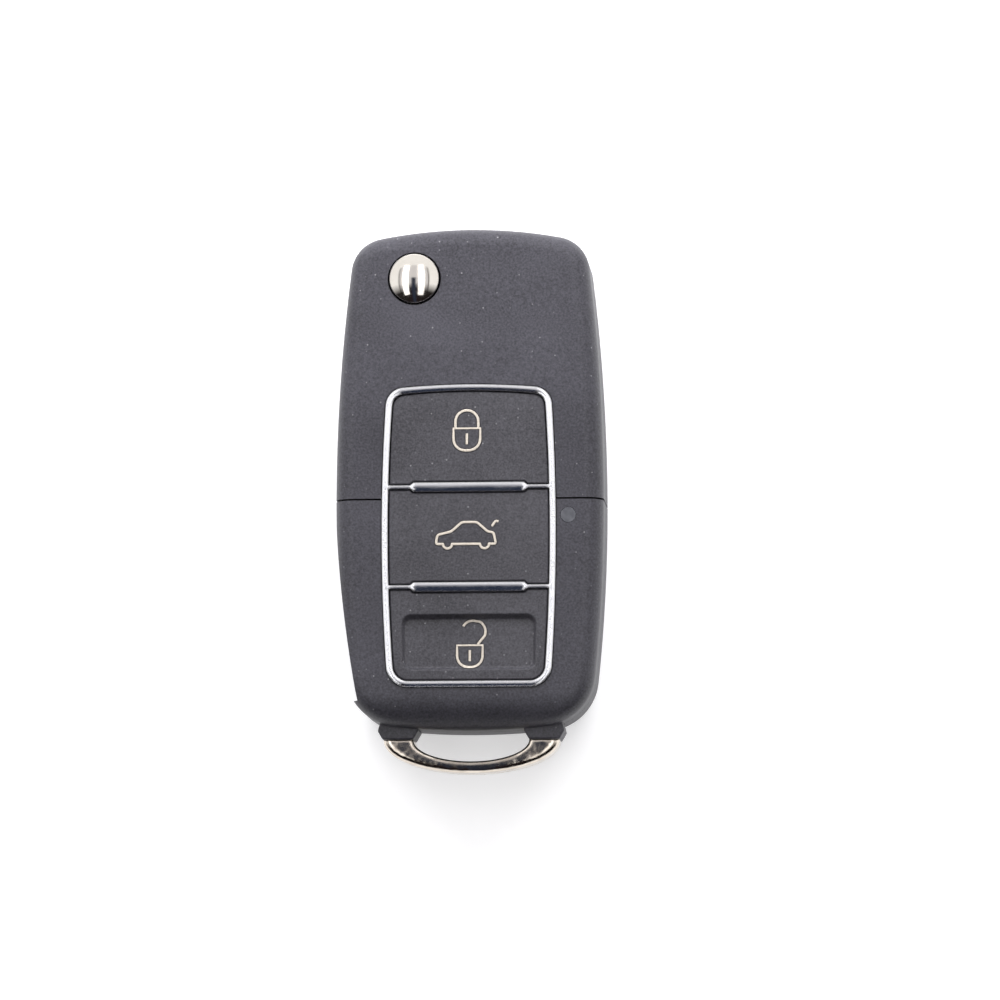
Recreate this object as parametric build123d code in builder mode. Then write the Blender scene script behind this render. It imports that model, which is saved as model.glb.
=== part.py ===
"""A flip-blade remote car key, lying on its back with the buttons up.

Millimetres. +X is right and +Y is towards the release button, looking down on the
button face. Z is 0 at the flat back, and the origin is in the middle of the outline.
"""
from build123d import *
from math import sqrt
import os

os.makedirs("parts", exist_ok=True)

# Outline of the closed body, seen from the button side
body_half_width = 18.5
body_top_y = 37.7
body_bottom_y = -31.9
split_y = -0.3
top_corner_half = 16.1
top_corner_drop = 2.0
top_corner_y = body_top_y - top_corner_drop
top_corner_radius = 5.0
bottom_corner_half = 16.5
bottom_corner_y = -30.5
bottom_corner_radius = 7.5

# Thickness, crowned front face and the roll-off at the key-ring end
body_thickness = 15.0
parting_z = 7.5
crown_radius = 680.0
crown_peak_y = 4.0
chin_start_y = -26.9
chin_end_z = 9.4
chin_past_end = 0.3
shoulder_radius = 2.6
heel_radius = 2.4
roof_normal_share = 0.34

# Walls and the gaps between covers
wall = 1.4
split_gap = 0.24
parting_gap = 0.12
lip_thickness = 0.7
lip_height = 0.9
lip_depth = 1.2
lip_clearance = 0.08
overrun = 1.0
far_out = 40.0

# Finger cut beside the folded blade, with its guard hook at the lower end
finger_cut_start_y = -3.0
finger_cut_middle_x = -17.3
finger_cut_middle_y = -16.0
finger_cut_end_x = -15.45
finger_cut_end_y = -27.9

# Pivot of the folding blade, under the release button
pivot_x = -7.6
pivot_top_inset = 7.2
pivot_y = body_top_y - pivot_top_inset
barrel_radius = 5.45
barrel_gap = 0.3
back_pad_z = 2.0
front_pad_z = 12.9
pad_radius = 7.4
trunnion_radius = 3.0
trunnion_length = 1.2
collar_radius = 4.2
collar_height = 0.5
running_clearance = 0.05

# Release button, its latch lugs and its coil spring
button_radius = 3.42
button_hole_radius = 3.7
button_bore_radius = 3.5
button_rise = 0.3
dome_rise = 1.15
release_travel = 1.5
latch_lug_reach = 4.6
latch_lug_width = 1.8
latch_lug_height = 1.7
latch_lug_gap = 0.15
latch_notch_depth = 0.7
spring_floor = 3.0
spring_length = 5.4
spring_wire_radius = 0.3
spring_coil_radius = 2.6
spring_turns = 4
spring_boss_radius = 1.9
spring_boss_length = 3.2

# Arm that holds the blade
arm_left_x = -15.3
arm_right_x = -8.0
arm_end_y = 12.5
arm_half_thickness = 3.3
arm_corner_radius = 4.0
arm_edge = 0.5
arm_gap = 0.3
stop_gap = 0.3

# Uncut blade, its tang and its roll pin
blade_left_x = -15.0
blade_right_x = -8.6
blade_tip_y = -26.2
blade_thickness = 2.4
blade_tip_chamfer = 2.2
blade_edge = 0.3
blade_groove_width = 2.0
blade_groove_depth = 0.35
blade_groove_margin = 3.0
tang_width = 4.4
tang_length = 6.8
tang_clearance = 0.05
pin_inset_y = 3.5
pin_radius = 0.75
pin_wall = 0.3
pin_slit = 0.3
blade_slot_gap = 0.4
channel_shelf = 1.0

# Chromed trim frame round the three buttons
panel_side_margin = 6.5
panel_top_y = 15.6
panel_top_corner_y = 15.0
panel_top_taper = 0.65
panel_middle_y = -2.0
panel_bottom_y = -26.2
panel_bottom_taper = 0.8
panel_top_radius = 2.6
panel_bottom_radius = 3.0
trim_band = 0.85
trim_depth = 0.7
trim_proud = 0.3
trim_edge = 0.2
trim_groove = 0.12
bar_places = (1.35, -12.45)
bar_neck = 0.5
bar_height = 1.3
bar_end_margin = 3.9
bar_corner = 0.45

# Wall under the trim, and the button caps inside it
ring_wall = 0.55
ring_low_z = 11.6
cap_gap = 0.15
cap_low_z = 12.95
cap_edge = 0.15
flange_height = 0.4
flange_side_gap = 0.08
flange_half_gap = 0.25
button_travel = 0.45

# Finger scoop in the unlock button
scoop_top_y = -16.8
scoop_bottom_y = -23.5
scoop_side_margin = 3.2
scoop_depth = 0.8
scoop_shallow_depth = 0.5
scoop_wall_slope = 35
scoop_corner = 0.9
scoop_floor_edge = 0.4
scoop_rim_edge = 0.3

# Circuit board and what is on it
board_z = 9.2
board_thickness = 0.8
board_side_gap = 0.1
board_top_y = 13.2
board_tongue_margin = 1.8
board_right_inset = 3.9
board_bottom_y = -27.2
board_corner = 3.0
board_end_gap = 0.6
switch_length = 4.2
switch_width = 3.2
switch_height = 1.4
switch_edge = 0.2
switch_leg = 0.7
switch_leg_height = 0.25
plunger_radius = 0.85
plunger_clearance = 0.08
plunger_rise = 0.5
plunger_depth = 0.4
membrane_z = 12.1
membrane_thickness = 0.3
membrane_side_gap = 0.1
dome_radius = 1.5
dome_gap = 0.3
dome_taper = 0.3

# Lamp window beside the trim
lamp_inset = 4.8
lamp_y = -2.6
lens_radius = 1.05
lens_clearance = 0.05
lens_flange_radius = 1.6
lens_flange_height = 0.6
lens_low_z = 11.0
led_length = 1.6
led_width = 0.8
led_height = 0.7
led_dome_radius = 0.35

# Chips and small parts on the board
chip_side = 5.0
chip_height = 0.9
chip_x = 6.0
chip_y = -12.2
chip_edge = 0.15
crystal_length = 3.2
crystal_width = 2.5
crystal_height = 0.8
crystal_x = -3.8
crystal_y = -12.4
small_part_length = 1.0
small_part_width = 0.5
small_part_height = 0.45
small_part_places = (
    (-4.6, -8.6),
    (-4.6, -16.4),
    (5.4, -7.8),
    (9.6, -9.6),
    (9.6, -14.6),
    (5.2, -17.0),
)
lamp_resistor_inset = 2.0
lamp_resistor_y = -6.4

# Coin cell under the board, with its two contacts
cell_x = 3.4
cell_y = -14.6
cell_radius = 10.0
cell_height = 3.2
cell_rim = 0.4
cell_step = 0.7
contact_thickness = 0.25
contact_width = 5.0
contact_length = 9.0
strap_gap = 0.1
strap_foot = 1.2
cell_ring_wall = 1.0
cell_ring_inset = 0.8
cell_ring_gap = 0.1

# Posts under the board
post_radius = 1.2
post_left_x = -5.2
post_right_inset = 1.8
post_corner_inset = 2.4
post_top_y = -3.4
post_bottom_y = -25.2

# Remote half: end wall, tray under the board and locking tongue
end_wall = 1.2
tray_thickness = 1.0
tray_end_margin = 0.4
tongue_left_x = -3.0
tongue_right_x = 9.0
tongue_end_y = 7.0
tongue_thickness = 1.6
tongue_gap = 0.3
tongue_window_width = 5.0
tongue_window_length = 2.2
tongue_window_inset = 1.6
tooth_gap = 0.3
guide_rib = 1.0
guide_rib_height = 2.6

# Screws that close the head
screw_top_inset = 6.3
screw_end_inset = 7.3
screw_top_y = body_top_y - screw_end_inset
screw_low_inset = 3.9
screw_low_y = 5.0
screw_head_radius = 1.9
screw_head_height = 1.3
screw_head_sink = 0.5
screw_head_edge = 0.3
screw_radius = 0.95
screw_length = 9.0
screw_clearance = 0.05
screw_recess = 0.6
screw_recess_depth = 0.7
boss_radius = 2.0
boss_split_z = 5.2
boss_gap = 0.1

# Transponder in its pocket in the head
transponder_x = 7.4
transponder_y = 23.0
transponder_length = 11.0
transponder_width = 6.0
transponder_height = 3.0
transponder_edge = 0.8
pocket_gap = 0.1
pocket_wall = 0.8
pocket_height = 2.2

# Metal key-ring loop and the two lugs that carry it
loop_outer_half = 12.2
loop_inner_half = 8.0
loop_root_y = -33.1
loop_outer_drop = 4.6
loop_inner_drop = 3.0
loop_half_depth = 2.7
loop_outer_edge = 1.1
loop_inner_edge = 0.3
lug_flare = 0.7
lug_half_depth = 3.1
lug_root_depth = 2.6
lug_side_edge = 0.35
lug_face_edge = 0.3
tang_pin_radius = 1.3
tang_pin_length = 3.6
tang_pin_clearance = 0.05


# Widths that follow the width of the body
panel_middle_half = body_half_width - panel_side_margin
panel_top_half = panel_middle_half - panel_top_taper
panel_bottom_half = panel_middle_half - panel_bottom_taper
bar_half_length = panel_middle_half - bar_end_margin
scoop_half_width = panel_middle_half - scoop_side_margin
board_tongue_half = panel_middle_half - board_tongue_margin
board_right_x = body_half_width - board_right_inset
lamp_x = body_half_width - lamp_inset
screw_places = (
    (body_half_width - screw_top_inset, screw_top_y),
    (body_half_width - screw_low_inset, screw_low_y),
)
post_places = (
    (post_left_x, post_bottom_y),
    (board_right_x - post_corner_inset, post_bottom_y),
    (board_right_x - post_right_inset, post_top_y),
    (post_left_x, post_top_y),
)


def skin_z(y):
    """Height of the crowned front face at y."""
    return body_thickness - crown_radius + sqrt(crown_radius**2 - (y - crown_peak_y) ** 2)


def room(x_from, x_to, y_from, y_to, z_from, z_to):
    """A box given by its limits, for cutting and keeping."""
    with BuildPart() as space:
        with BuildSketch(Plane.XY.offset(z_from)):
            with Locations(((x_from + x_to) / 2, (y_from + y_to) / 2)):
                Rectangle(x_to - x_from, y_to - y_from)
        extrude(amount=z_to - z_from)
    return space.part


def under_skin(depth):
    """All the room below the front face, its crown and chin lowered by depth."""
    chin_end = (body_bottom_y - chin_past_end, chin_end_z - depth)
    crown_start_y = body_top_y + overrun
    with BuildPart() as below:
        with BuildSketch(Plane.YZ.offset(-far_out)):
            with BuildLine():
                crown = ThreePointArc(
                    (crown_start_y, skin_z(crown_start_y) - depth),
                    (crown_peak_y, body_thickness - depth),
                    (chin_start_y, skin_z(chin_start_y) - depth),
                )
                TangentArc(crown @ 1, chin_end, tangent=crown % 1)
                Polyline(
                    chin_end,
                    (chin_end[0], -overrun),
                    (crown_start_y, -overrun),
                    crown @ 0,
                )
            make_face()
        extrude(amount=2 * far_out)
    return below.part


def body_outline(inset):
    """Outline of the body, drawn in by inset."""
    half_width = body_half_width - inset
    top_corner = (top_corner_half - inset, top_corner_y - inset)
    bottom_corner = (bottom_corner_half - inset, bottom_corner_y + inset)
    with BuildSketch() as outline:
        with BuildLine():
            for side in (1, -1):
                crest = (side * half_width, split_y)
                TangentArc(crest, (side * top_corner[0], top_corner[1]), tangent=(0, 1))
                TangentArc(crest, (side * bottom_corner[0], bottom_corner[1]), tangent=(0, -1))
            ThreePointArc(top_corner, (0, body_top_y - inset), (-top_corner[0], top_corner[1]))
            ThreePointArc(bottom_corner, (0, body_bottom_y + inset), (-bottom_corner[0], bottom_corner[1]))
        make_face()
        fillet(outline.vertices().group_by(Axis.Y)[-1], top_corner_radius - inset)
        fillet(outline.vertices().group_by(Axis.Y)[0], bottom_corner_radius - inset)
    return outline.sketch


def rim_edges(part):
    """Edges where the front face and the chin meet the side walls."""
    roof = [face for face in part.faces() if face.normal_at(face.center()).Z > roof_normal_share]
    roof_edges = [edge for face in roof for edge in face.edges()]
    return ShapeList(edge for edge in roof_edges if sum(edge.is_same(other) for other in roof_edges) == 1)


def body_form(inset):
    """The closed body drawn in by inset all round, with its rounded shoulders."""
    with BuildPart() as form:
        with BuildSketch(Plane.XY.offset(inset)):
            add(body_outline(inset))
        extrude(amount=body_thickness)
        add(under_skin(inset), mode=Mode.INTERSECT)
        fillet(rim_edges(form.part), shoulder_radius - inset)
        fillet(form.faces().sort_by(Axis.Z)[0].edges(), heel_radius - inset)
    return form.part


def finger_cut(grow):
    """The cut on the blade side, grown inwards by grow."""
    start_x = -body_half_width + grow
    with BuildPart() as cut:
        with BuildSketch(Plane.XY.offset(-overrun)):
            with BuildLine():
                edge = ThreePointArc(
                    (start_x, finger_cut_start_y),
                    (finger_cut_middle_x + grow, finger_cut_middle_y),
                    (finger_cut_end_x + grow, finger_cut_end_y - grow),
                )
                Polyline(
                    edge @ 1,
                    (-far_out, finger_cut_end_y - grow),
                    (-far_out, finger_cut_start_y),
                    edge @ 0,
                )
            make_face()
        extrude(amount=body_thickness + 2 * overrun)
    return cut.part


def panel_outline(grow):
    """Outer edge of the trim frame, grown by grow."""
    top_corner = (panel_top_half + grow, panel_top_corner_y + grow)
    bottom_corner = (panel_bottom_half + grow, panel_bottom_y - grow)
    with BuildSketch() as panel:
        with BuildLine():
            for side in (1, -1):
                ThreePointArc(
                    (side * top_corner[0], top_corner[1]),
                    (side * (panel_middle_half + grow), panel_middle_y),
                    (side * bottom_corner[0], bottom_corner[1]),
                )
            ThreePointArc(top_corner, (0, panel_top_y + grow), (-top_corner[0], top_corner[1]))
            Line(bottom_corner, (-bottom_corner[0], bottom_corner[1]))
        make_face()
        fillet(panel.vertices().group_by(Axis.Y)[-1], panel_top_radius + grow)
        fillet(panel.vertices().group_by(Axis.Y)[0], panel_bottom_radius + grow)
    return panel.sketch


def crossbar(y, grow):
    """One bar of the trim: thin necks and a thicker middle with clipped corners."""
    with BuildSketch() as bar:
        with Locations((0, y)):
            Rectangle(2 * bar_half_length, bar_height)
        chamfer(bar.vertices(), bar_corner)
        with Locations((0, y)):
            Rectangle(2 * panel_middle_half - trim_band, bar_neck)
        if grow > 0:
            offset(amount=grow)
    return bar.sketch


# Places that follow from the sizes above
slot_low_z = parting_z - blade_thickness / 2 - blade_slot_gap
slot_high_z = parting_z + blade_thickness / 2 + blade_slot_gap
arm_low_z = parting_z - arm_half_thickness
arm_high_z = parting_z + arm_half_thickness
channel_wall_x = arm_right_x + arm_gap
channel_right_x = channel_wall_x + channel_shelf
board_left_x = channel_right_x + board_side_gap
tang_bore_radius = tang_pin_radius + tang_pin_clearance
tang_bore_length = tang_pin_length + tang_pin_clearance
mouth_y = arm_end_y - arm_gap
stop_x = 2 * pivot_x - arm_left_x + stop_gap
barrel_low_z = back_pad_z + barrel_gap
barrel_high_z = front_pad_z - barrel_gap
board_top_z = board_z + board_thickness
switch_top_z = board_top_z + switch_height
plunger_top_z = switch_top_z + plunger_rise
cell_high_z = board_z - contact_thickness
cell_low_z = cell_high_z - cell_height
strap_low_z = cell_low_z - contact_thickness
head_from_y = split_y + split_gap / 2
remote_to_y = split_y - split_gap / 2
front_from_z = parting_z + parting_gap / 2
back_to_z = parting_z - parting_gap / 2
end_wall_y = remote_to_y - end_wall
end_wall_right_x = body_half_width - wall - lip_clearance
tooth_x = (tongue_left_x + tongue_right_x) / 2
tooth_y = tongue_end_y - tongue_window_inset - tongue_window_length / 2

outer_form = body_form(0)

# Room inside the walls, less the shelves of the blade channel
with BuildPart() as cavity:
    add(body_form(wall))
    add(finger_cut(wall), mode=Mode.SUBTRACT)
    add(
        room(
            -far_out,
            channel_right_x,
            finger_cut_end_y - wall,
            mouth_y,
            slot_low_z - channel_shelf,
            slot_high_z + channel_shelf,
        ),
        mode=Mode.SUBTRACT,
    )

# Hollow body with the blade slot and the arm's mouth, before it is parted into four covers
with BuildPart() as hollow_body:
    add(outer_form)
    add(cavity.part, mode=Mode.SUBTRACT)
    add(finger_cut(0), mode=Mode.SUBTRACT)
    add(
        room(-far_out, channel_wall_x, finger_cut_end_y, mouth_y + overrun, slot_low_z, slot_high_z),
        mode=Mode.SUBTRACT,
    )
    add(
        room(-far_out, stop_x, mouth_y, far_out + body_top_y, arm_low_z - arm_gap, arm_high_z + arm_gap),
        mode=Mode.SUBTRACT,
    )


def lip(x_from, y_from, y_to):
    """Locating lip that grows out of the back cover's wall and stands up inside the front cover's."""
    with BuildPart() as ring:
        with BuildSketch(Plane.XY.offset(back_to_z - lip_depth)):
            add(body_outline(wall / 2))
            add(body_outline(wall + lip_clearance + lip_thickness), mode=Mode.SUBTRACT)
        extrude(amount=lip_depth)
        with BuildSketch(Plane.XY.offset(back_to_z)):
            add(body_outline(wall + lip_clearance))
            add(body_outline(wall + lip_clearance + lip_thickness), mode=Mode.SUBTRACT)
        extrude(amount=lip_height)
        add(room(x_from, far_out, y_from, y_to, 0, body_thickness), mode=Mode.INTERSECT)
        with BuildSketch(Plane.XY.offset(boss_split_z + boss_gap)):
            with Locations(screw_places):
                Circle(boss_radius + lip_clearance)
        extrude(amount=body_thickness, mode=Mode.SUBTRACT)
        for lug_from in (loop_inner_half - lug_flare, -loop_outer_half - lug_flare):
            add(
                room(
                    lug_from - lip_clearance,
                    lug_from + loop_outer_half - loop_inner_half + 2 * lug_flare + lip_clearance,
                    -far_out,
                    body_bottom_y + lug_root_depth + lip_clearance,
                    back_to_z,
                    body_thickness,
                ),
                mode=Mode.SUBTRACT,
            )
    return ring.part


def latch_slots(reach, width, z_from, z_to):
    """Room for the two latch lugs, one each side of the pivot along Y."""
    return room(pivot_x - width / 2, pivot_x + width / 2, pivot_y - reach, pivot_y + reach, z_from, z_to)


# Round room in which the barrel turns
with BuildPart() as barrel_room:
    with BuildSketch(Plane.XY.offset(back_pad_z)):
        with Locations((pivot_x, pivot_y)):
            Circle(barrel_radius + barrel_gap)
    extrude(amount=front_pad_z - back_pad_z)


# Pad over the barrel and the two screw bosses, kept inside the body
with BuildPart() as front_fixings:
    with BuildSketch(Plane.XY.offset(front_pad_z)):
        with Locations((pivot_x, pivot_y)):
            Circle(pad_radius)
    extrude(amount=body_thickness - front_pad_z)
    with BuildSketch(Plane.XY.offset(boss_split_z + boss_gap)):
        with Locations(screw_places):
            Circle(boss_radius)
    extrude(amount=body_thickness - boss_split_z - boss_gap)
    add(outer_form, mode=Mode.INTERSECT)

# Front cover of the head
with BuildPart() as head_front_cover:
    add(hollow_body.part)
    add(
        room(-far_out, far_out, head_from_y, far_out + body_top_y, front_from_z, body_thickness + overrun),
        mode=Mode.INTERSECT,
    )
    add(front_fixings.part)
    add(barrel_room.part, mode=Mode.SUBTRACT)
    with BuildSketch(Plane.XY.offset(boss_split_z)):
        with Locations(screw_places):
            Circle(screw_radius + screw_clearance)
    extrude(amount=screw_length + screw_head_sink + screw_head_height - boss_split_z, mode=Mode.SUBTRACT)
    with BuildSketch(Plane.XY.offset(ring_low_z)):
        add(panel_outline(trim_groove))
    extrude(amount=body_thickness, mode=Mode.SUBTRACT)
    with BuildSketch(Plane.XY.offset(front_pad_z)):
        with Locations((pivot_x, pivot_y)):
            Circle(button_hole_radius)
    extrude(amount=body_thickness, mode=Mode.SUBTRACT)
    with BuildSketch(Plane.XY.offset(front_pad_z)):
        with Locations((pivot_x, pivot_y)):
            Circle(collar_radius + running_clearance)
    extrude(amount=collar_height + latch_lug_gap, mode=Mode.SUBTRACT)
    add(
        latch_slots(
            latch_lug_reach + latch_lug_gap,
            latch_lug_width + 2 * latch_lug_gap,
            front_pad_z,
            front_pad_z + latch_notch_depth,
        ),
        mode=Mode.SUBTRACT,
    )
head_front_cover.part.label = "head_front_cover"
export_step(head_front_cover.part, "parts/head_front_cover.step")


# Pad under the barrel and the seats of the two screws, kept inside the body
with BuildPart() as back_fixings:
    with BuildSketch():
        with Locations((pivot_x, pivot_y)):
            Circle(pad_radius)
    extrude(amount=back_pad_z)
    with BuildSketch():
        with Locations(screw_places):
            Circle(boss_radius + wall / 2)
    extrude(amount=boss_split_z)
    add(outer_form, mode=Mode.INTERSECT)

# Back cover of the head, with the transponder's pocket and the tooth that locks the remote half
with BuildPart() as head_back_cover:
    add(hollow_body.part)
    add(
        room(-far_out, far_out, head_from_y, far_out + body_top_y, -overrun, back_to_z),
        mode=Mode.INTERSECT,
    )
    add(back_fixings.part)
    add(barrel_room.part, mode=Mode.SUBTRACT)
    with BuildSketch(Plane.XY.offset(wall / 2)):
        with Locations((transponder_x, transponder_y)):
            Rectangle(
                transponder_length + 2 * (pocket_gap + pocket_wall),
                transponder_width + 2 * (pocket_gap + pocket_wall),
            )
            Rectangle(
                transponder_length + 2 * pocket_gap,
                transponder_width + 2 * pocket_gap,
                mode=Mode.SUBTRACT,
            )
    extrude(amount=wall / 2 + pocket_height)
    for rib_from in (tongue_left_x - tongue_gap - guide_rib, tongue_right_x + tongue_gap):
        rib_to = rib_from + guide_rib
        add(
            room(
                rib_from,
                rib_to,
                head_from_y,
                tongue_end_y + guide_rib,
                wall / 2,
                wall + guide_rib_height,
            )
        )
    with BuildSketch(Plane.XY.offset(wall / 2)):
        with Locations((tooth_x, tooth_y)):
            Rectangle(tongue_window_width - 2 * tooth_gap, tongue_window_length - 2 * tooth_gap)
    extrude(amount=wall / 2 + tongue_gap + tongue_thickness)
    add(lip(stop_x, head_from_y, far_out + body_top_y))
    with BuildSketch():
        with Locations(screw_places):
            Circle(screw_radius + screw_clearance)
    extrude(amount=body_thickness, mode=Mode.SUBTRACT)
    with BuildSketch(Plane.XY.offset(-overrun)):
        with Locations(screw_places):
            Circle(screw_head_radius + screw_clearance)
    extrude(amount=overrun + screw_head_sink + screw_head_height, mode=Mode.SUBTRACT)
    with BuildSketch(Plane.XY.offset(back_pad_z)):
        with Locations((pivot_x, pivot_y)):
            Circle(trunnion_radius + running_clearance)
    extrude(amount=barrel_gap - trunnion_length - latch_lug_gap, mode=Mode.SUBTRACT)
head_back_cover.part.label = "head_back_cover"
export_step(head_back_cover.part, "parts/head_back_cover.step")


def lug_pair(z_from, z_to):
    """The two flared lugs that carry the key-ring loop, cut to a span of heights."""
    root_y = body_bottom_y + lug_root_depth
    with BuildPart() as lugs:
        with BuildSketch(Plane.XY.offset(parting_z - lug_half_depth)):
            with BuildLine():
                Polyline(
                    (loop_inner_half - lug_flare, root_y),
                    (loop_inner_half - lug_flare, body_bottom_y),
                    (loop_inner_half, loop_root_y),
                    (loop_outer_half, loop_root_y),
                    (loop_outer_half + lug_flare, body_bottom_y),
                    (loop_outer_half, root_y),
                    close=True,
                )
            make_face()
            mirror(about=Plane.YZ)
        extrude(amount=2 * lug_half_depth)
        fillet(lugs.edges().filter_by(Axis.Z), lug_side_edge)
        fillet(lugs.faces().filter_by(Plane.XY).edges(), lug_face_edge)
        add(room(-far_out, far_out, -far_out + body_bottom_y, far_out, z_from, z_to), mode=Mode.INTERSECT)
    return lugs.part


def tang_pins(radius, length):
    """The loop's two round tangs, or with more radius the bores they sit in."""
    with BuildPart() as pins:
        with BuildSketch(Plane.XZ.offset(-loop_root_y)):
            with Locations(
                ((loop_inner_half + loop_outer_half) / 2, parting_z),
                (-(loop_inner_half + loop_outer_half) / 2, parting_z),
            ):
                Circle(radius)
        extrude(amount=-length)
    return pins.part


# Wall that rings the buttons under the trim, still filled, and the groove that the trim lies in
with BuildPart() as button_ring:
    with BuildSketch(Plane.XY.offset(ring_low_z)):
        add(panel_outline(0))
    extrude(amount=body_thickness)
    add(under_skin(trim_depth), mode=Mode.INTERSECT)

with BuildPart() as trim_pocket:
    with BuildSketch(Plane.XY.offset(ring_low_z)):
        add(panel_outline(trim_groove))
    extrude(amount=body_thickness)
    add(under_skin(trim_depth), mode=Mode.SUBTRACT)

# Front cover of the remote half
with BuildPart() as remote_front_cover:
    add(hollow_body.part)
    add(lug_pair(0, body_thickness))
    add(
        room(
            -far_out,
            far_out,
            -far_out + body_bottom_y,
            remote_to_y,
            front_from_z,
            body_thickness + overrun,
        ),
        mode=Mode.INTERSECT,
    )
    add(button_ring.part)
    add(trim_pocket.part, mode=Mode.SUBTRACT)
    with BuildSketch(Plane.XY.offset(ring_low_z - overrun)):
        add(panel_outline(-ring_wall))
    extrude(amount=body_thickness, mode=Mode.SUBTRACT)
    with BuildSketch(Plane.XY.offset(board_top_z)):
        with Locations((lamp_x, lamp_y)):
            Circle(lens_radius + lens_clearance)
    extrude(amount=body_thickness, mode=Mode.SUBTRACT)
    add(tang_pins(tang_bore_radius, tang_bore_length), mode=Mode.SUBTRACT)
remote_front_cover.part.label = "remote_front_cover"
export_step(remote_front_cover.part, "parts/remote_front_cover.step")


# Inside of the remote half's back: posts, cell ring, end wall, tray and locking tongue
with BuildPart() as back_inside:
    with BuildSketch(Plane.XY.offset(wall / 2)):
        with Locations((cell_x, cell_y)):
            Circle(cell_radius - cell_ring_inset)
            Circle(cell_radius - cell_ring_inset - cell_ring_wall, mode=Mode.SUBTRACT)
    extrude(amount=cell_low_z - cell_ring_gap - wall / 2)
    add(
        room(
            cell_x - contact_width / 2 - strap_gap,
            cell_x + contact_width / 2 + strap_gap,
            cell_y - cell_radius,
            cell_y + cell_radius,
            strap_low_z - strap_gap,
            cell_low_z,
        ),
        mode=Mode.SUBTRACT,
    )
    with BuildSketch(Plane.XY.offset(wall / 2)):
        with Locations(post_places):
            Circle(post_radius)
    extrude(amount=board_z - wall / 2)
    add(room(channel_right_x, end_wall_right_x, end_wall_y, remote_to_y, wall / 2, back_to_z))
    add(room(board_left_x, board_tongue_half, end_wall_y, remote_to_y, wall / 2, board_z))
    add(
        room(
            board_left_x,
            board_tongue_half,
            end_wall_y,
            board_top_y + tray_end_margin,
            board_z - tray_thickness,
            board_z,
        )
    )
    with BuildSketch(Plane.XY.offset(wall + tongue_gap)):
        with Locations(((tongue_left_x + tongue_right_x) / 2, (end_wall_y + tongue_end_y) / 2)):
            Rectangle(tongue_right_x - tongue_left_x, tongue_end_y - end_wall_y)
        with Locations((tooth_x, tooth_y)):
            Rectangle(tongue_window_width, tongue_window_length, mode=Mode.SUBTRACT)
    extrude(amount=tongue_thickness)

# Back cover of the remote half
with BuildPart() as remote_back_cover:
    add(hollow_body.part)
    add(lug_pair(0, body_thickness))
    add(
        room(-far_out, far_out, -far_out + body_bottom_y, remote_to_y, -overrun, back_to_z),
        mode=Mode.INTERSECT,
    )
    add(back_inside.part)
    add(lip(channel_right_x, -far_out + body_bottom_y, end_wall_y))
    add(tang_pins(tang_bore_radius, tang_bore_length), mode=Mode.SUBTRACT)
remote_back_cover.part.label = "remote_back_cover"
export_step(remote_back_cover.part, "parts/remote_back_cover.step")


# Chromed trim frame
with BuildPart() as chrome_trim_frame:
    with BuildSketch(Plane.XY.offset(ring_low_z)):
        add(panel_outline(0))
        add(panel_outline(-trim_band), mode=Mode.SUBTRACT)
        for bar_y in bar_places:
            add(crossbar(bar_y, 0))
    extrude(amount=body_thickness)
    add(under_skin(-trim_proud), mode=Mode.INTERSECT)
    add(under_skin(trim_depth), mode=Mode.SUBTRACT)
    fillet(chrome_trim_frame.faces().sort_by(Axis.Z)[-1].edges(), trim_edge)
chrome_trim_frame.part.label = "chrome_trim_frame"
export_step(chrome_trim_frame.part, "parts/chrome_trim_frame.step")


def button_cap(y_from, y_to):
    """One button cap between two bars, with the flange that the trim holds down."""
    with BuildPart() as cap:
        with BuildSketch(Plane.XY.offset(cap_low_z)):
            add(panel_outline(-trim_band - cap_gap))
            for bar_y in bar_places:
                add(crossbar(bar_y, cap_gap), mode=Mode.SUBTRACT)
            with Locations((0, (y_from + y_to) / 2)):
                Rectangle(far_out, y_to - y_from, mode=Mode.INTERSECT)
        extrude(amount=body_thickness)
        add(under_skin(0), mode=Mode.INTERSECT)
        chamfer(cap.faces().sort_by(Axis.Z)[-1].edges(), cap_edge)
        with BuildSketch(Plane.XY.offset(cap_low_z)):
            add(panel_outline(-ring_wall - flange_side_gap))
            with Locations((0, (y_from + y_to) / 2)):
                Rectangle(far_out, y_to - y_from - 2 * flange_half_gap, mode=Mode.INTERSECT)
        extrude(amount=flange_height)
    return cap.part


# Button caps: lock, trunk and unlock, from the pivot end down
cap_limits = (panel_top_y + flange_half_gap, bar_places[0], bar_places[1], panel_bottom_y - flange_half_gap)
switch_places = (
    (bar_places[0] + panel_top_y - trim_band) / 2,
    (bar_places[0] + bar_places[1]) / 2,
    (bar_places[1] + panel_bottom_y + trim_band) / 2,
)

# Finger scoop: a floor that rises towards the ring, sloping walls and round corners
scoop_top_z = skin_z(scoop_top_y) - scoop_depth
scoop_bottom_z = skin_z(scoop_bottom_y) - scoop_shallow_depth
scoop_floor = Plane(
    origin=(0, (scoop_top_y + scoop_bottom_y) / 2, (scoop_top_z + scoop_bottom_z) / 2),
    x_dir=(1, 0, 0),
    z_dir=(0, scoop_bottom_z - scoop_top_z, scoop_top_y - scoop_bottom_y),
)
with BuildPart() as scoop:
    with BuildSketch(scoop_floor):
        RectangleRounded(2 * scoop_half_width, scoop_top_y - scoop_bottom_y, scoop_corner)
    extrude(amount=2 * scoop_depth, taper=-scoop_wall_slope)
    fillet(scoop.faces().sort_by(Axis.Z)[0].edges(), scoop_floor_edge)

with BuildPart() as lock_button:
    add(button_cap(cap_limits[1], cap_limits[0]))
lock_button.part.label = "lock_button"
export_step(lock_button.part, "parts/lock_button.step")

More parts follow.
